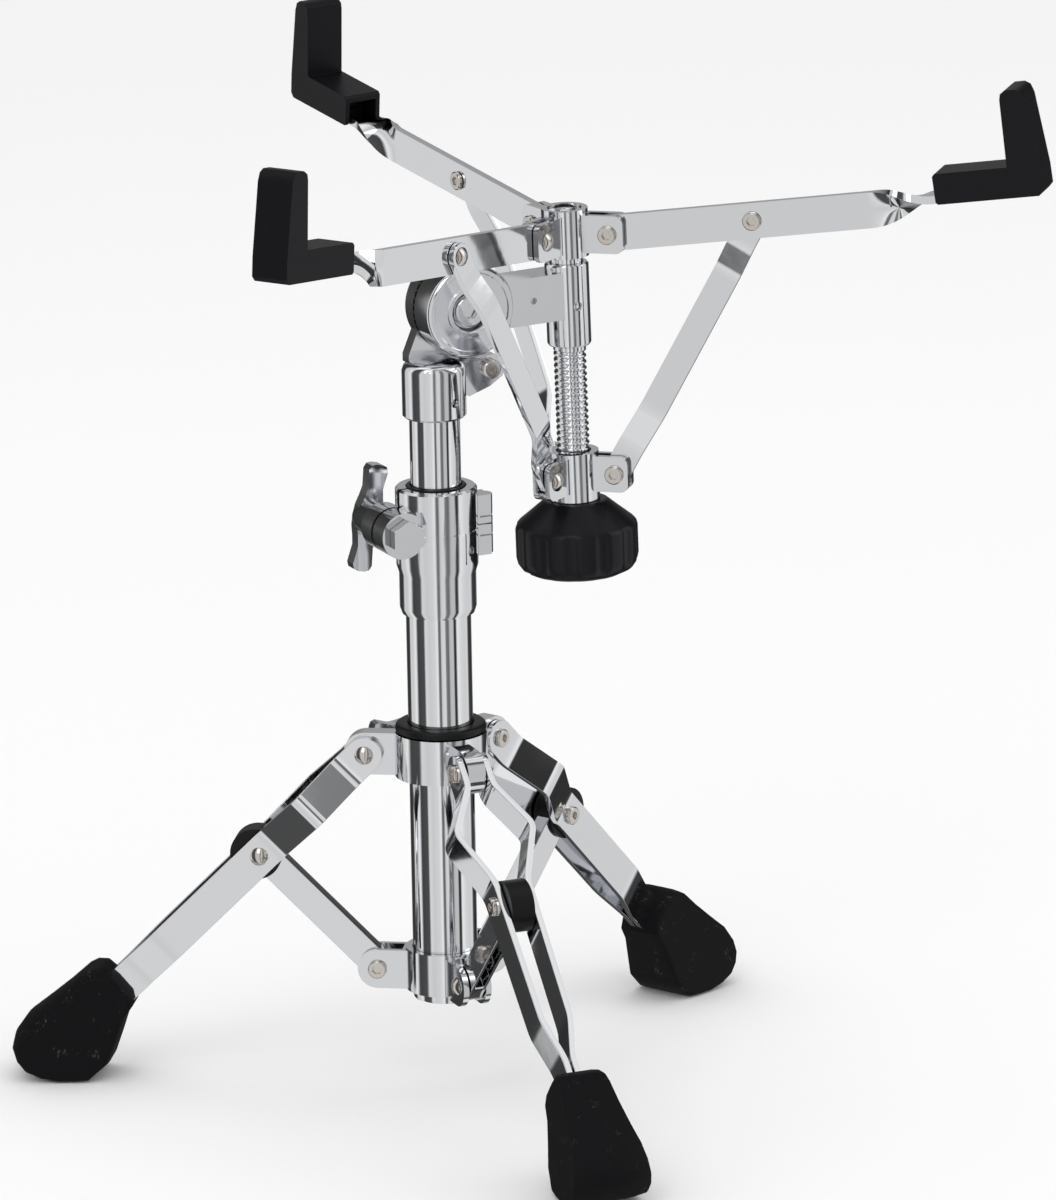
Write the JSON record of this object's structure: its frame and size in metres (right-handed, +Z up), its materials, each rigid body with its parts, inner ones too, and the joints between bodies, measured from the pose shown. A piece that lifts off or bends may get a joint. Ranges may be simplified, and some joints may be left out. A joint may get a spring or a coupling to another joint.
{
  "type": "snare drum stand",
  "caption": "Folding tripod stand with a telescoping post, a ratchet tilter and an arm basket whose rubber grips clamp a drum from below.",
  "frame": {"origin": "on the floor, below the middle of the stand's bounding box", "axes": "+Z up along the post; +X from the post towards the basket rod; feet rest on the plane z = 0"},
  "size_m": [0.4066, 0.4167, 0.455],
  "materials": {
    "chrome": "polished plate",
    "nickel": "warm satin plate",
    "screw_steel": "dark satin",
    "rubber": "matte",
    "black_plastic": "satin",
    "knob_plastic": "satin"
  },
  "bodies": {
    "post": {"lower_tube": "chrome", "height_clamp": "chrome", "clamp_bushing": "black_plastic", "clamp_bolt": "chrome", "lower_bracket": "chrome", "brace_0_low_pin": "nickel", "brace_1_low_pin": "nickel", "brace_2_low_pin": "nickel"},
    "collar": {"tripod_collar": "chrome", "collar_liner": "black_plastic", "leg_0_top_pin": "nickel", "leg_1_top_pin": "nickel", "leg_2_top_pin": "nickel"},
    "clamp_wing": {"clamp_wing_nut": "chrome"},
    "collar_wing": {"collar_wing_bolt": "chrome"},
    "height_tube": {"upper_tube": "chrome"},
    "tilter_base": {"tilter_cap": "chrome", "tilter_lock_screw": "screw_steel", "tilter_bolt": "screw_steel"},
    "tilter": {"tilter_arm": "chrome", "basket_rod": "chrome"},
    "basket": {"upper_hub": "chrome", "arm_0_hub_pin": "nickel", "arm_1_hub_pin": "nickel", "arm_2_hub_pin": "nickel"},
    "basket_foot": {"lower_hub": "chrome", "strut_0_hub_pin": "nickel", "strut_1_hub_pin": "nickel", "strut_2_hub_pin": "nickel"},
    "knob": {"basket_knob": "knob_plastic"},
    "leg_0": {"leg_0_strip_a": "chrome", "leg_0_strip_b": "chrome", "leg_0_mid_pin": "nickel", "foot_0": "rubber"},
    "brace_0": {"brace_0": "chrome", "brace_cap_0": "black_plastic"},
    "arm_0": {"basket_arm_0": "chrome", "grip_0": "rubber", "arm_0_strut_pin": "nickel"},
    "strut_0": {"strut_0": "chrome"},
    "leg_1": {"leg_1_strip_a": "chrome", "leg_1_strip_b": "chrome", "leg_1_mid_pin": "nickel", "foot_1": "rubber"},
    "brace_1": {"brace_1": "chrome", "brace_cap_1": "black_plastic"},
    "arm_1": {"basket_arm_1": "chrome", "grip_1": "rubber", "arm_1_strut_pin": "nickel"},
    "strut_1": {"strut_1": "chrome"},
    "leg_2": {"leg_2_strip_a": "chrome", "leg_2_strip_b": "chrome", "leg_2_mid_pin": "nickel", "foot_2": "rubber"},
    "brace_2": {"brace_2": "chrome", "brace_cap_2": "black_plastic"},
    "arm_2": {"basket_arm_2": "chrome", "grip_2": "rubber", "arm_2_strut_pin": "nickel"},
    "strut_2": {"strut_2": "chrome"}
  },
  "joints": [
    {"name": "collar_slide", "type": "slide", "parent": "post", "child": "collar", "axis": [0, 0, 1], "range_m": [0, 0.034]},
    {"name": "leg_0_fold", "type": "hinge", "parent": "collar", "child": "leg_0", "pos_m": [-0.05427, 0.01001, 0.1524], "axis": [-0.5446, -0.8387, 0], "range_deg": [0, 28]},
    {"name": "brace_0_fold", "type": "hinge", "parent": "post", "child": "brace_0", "pos_m": [-0.05108, 0.00794, 0.054], "axis": [0.5446, 0.8387, 0], "range_deg": [0, 26]},
    {"name": "leg_1_fold", "type": "hinge", "parent": "collar", "child": "leg_1", "pos_m": [0.0035, 0.00698, 0.1524], "axis": [-0.454, 0.891, 0], "range_deg": [0, 28]},
    {"name": "brace_1_fold", "type": "hinge", "parent": "post", "child": "brace_1", "pos_m": [0.00011, 0.00526, 0.054], "axis": [0.454, -0.891, 0], "range_deg": [0, 26]},
    {"name": "leg_2_fold", "type": "hinge", "parent": "collar", "child": "leg_2", "pos_m": [-0.02801, -0.04153, 0.1524], "axis": [0.9986, -0.0523, 0], "range_deg": [0, 28]},
    {"name": "brace_2_fold", "type": "hinge", "parent": "post", "child": "brace_2", "pos_m": [-0.02781, -0.03774, 0.054], "axis": [-0.9986, 0.0523, 0], "range_deg": [0, 26]},
    {"name": "clamp_wing_turn", "type": "hinge", "parent": "post", "child": "clamp_wing", "pos_m": [-0.04696, 0.00982, 0.256], "axis": [0, 1, 0], "continuous": true},
    {"name": "collar_wing_turn", "type": "hinge", "parent": "collar", "child": "collar_wing", "pos_m": [-0.02469, 0.02178, 0.1524], "axis": [0.0523, 0.9986, 0], "continuous": true},
    {"name": "height_slide", "type": "slide", "parent": "post", "child": "height_tube", "axis": [0, 0, 1], "range_m": [-0.028, 0.13]},
    {"name": "basket_turn", "type": "hinge", "parent": "height_tube", "child": "tilter_base", "pos_m": [-0.02626, -0.00818, 0.305], "axis": [0, 0, 1], "range_deg": [-90, 90]},
    {"name": "basket_tilt", "type": "hinge", "parent": "tilter_base", "child": "tilter", "pos_m": [-0.01286, -0.00818, 0.3523], "axis": [0, 1, 0], "range_deg": [-60, 5]},
    {"name": "basket_swivel", "type": "hinge", "parent": "tilter", "child": "basket", "pos_m": [0.03794, -0.00818, 0.3802], "axis": [-0.0237, 0, 0.9997], "range_deg": [-10, 50]},
    {"name": "arm_close", "type": "slide", "parent": "basket", "child": "basket_foot", "axis": [-0.0237, 0, 0.9997], "range_m": [-0.0045, 0.019]},
    {"name": "knob_turn", "type": "hinge", "parent": "basket_foot", "child": "knob", "pos_m": [0.04114, -0.00818, 0.24524], "axis": [-0.0237, 0, 0.9997], "range_deg": [-576, 2340]},
    {"name": "arm_0_lift", "type": "hinge", "parent": "basket", "child": "arm_0", "pos_m": [0.05305, -0.02203, 0.38056], "axis": [-0.6754, -0.7373, -0.016], "range_deg": [-5.2, 21]},
    {"name": "strut_0_lift", "type": "hinge", "parent": "basket_foot", "child": "strut_0", "pos_m": [0.05495, -0.02142, 0.27257], "axis": [-0.6754, -0.7373, -0.016], "range_deg": [-1, 3.5]},
    {"name": "arm_1_lift", "type": "hinge", "parent": "basket", "child": "arm_1", "pos_m": [0.03544, 0.01217, 0.38014], "axis": [0.9923, 0.1219, 0.0236], "range_deg": [-5.2, 21]},
    {"name": "strut_1_lift", "type": "hinge", "parent": "basket_foot", "child": "strut_1", "pos_m": [0.03812, 0.01127, 0.27217], "axis": [0.9923, 0.1219, 0.0236], "range_deg": [-1, 3.5]},
    {"name": "arm_2_lift", "type": "hinge", "parent": "basket", "child": "arm_2", "pos_m": [0.02028, -0.01859, 0.37978], "axis": [-0.5074, 0.8616, -0.012], "range_deg": [-5.2, 21]},
    {"name": "strut_2_lift", "type": "hinge", "parent": "basket_foot", "child": "strut_2", "pos_m": [0.02362, -0.01813, 0.27183], "axis": [-0.5074, 0.8616, -0.012], "range_deg": [-1, 3.5]}
  ],
  "couplings": [
    {"joint": "leg_0_fold", "follows": "collar_slide", "rad_per_m": 14.255},
    {"joint": "brace_0_fold", "follows": "collar_slide", "rad_per_m": 13.234},
    {"joint": "leg_1_fold", "follows": "collar_slide", "rad_per_m": 14.255},
    {"joint": "brace_1_fold", "follows": "collar_slide", "rad_per_m": 13.234},
    {"joint": "leg_2_fold", "follows": "collar_slide", "rad_per_m": 14.255},
    {"joint": "brace_2_fold", "follows": "collar_slide", "rad_per_m": 13.234},
    {"joint": "knob_turn", "follows": "arm_close", "rad_per_m": 2094.4},
    {"joint": "arm_0_lift", "follows": "arm_close", "rad_per_m": 18.675},
    {"joint": "strut_0_lift", "follows": "arm_close", "rad_per_m": 2.8798},
    {"joint": "arm_1_lift", "follows": "arm_close", "rad_per_m": 18.675},
    {"joint": "strut_1_lift", "follows": "arm_close", "rad_per_m": 2.8798},
    {"joint": "arm_2_lift", "follows": "arm_close", "rad_per_m": 18.675},
    {"joint": "strut_2_lift", "follows": "arm_close", "rad_per_m": 2.8798}
  ]
}
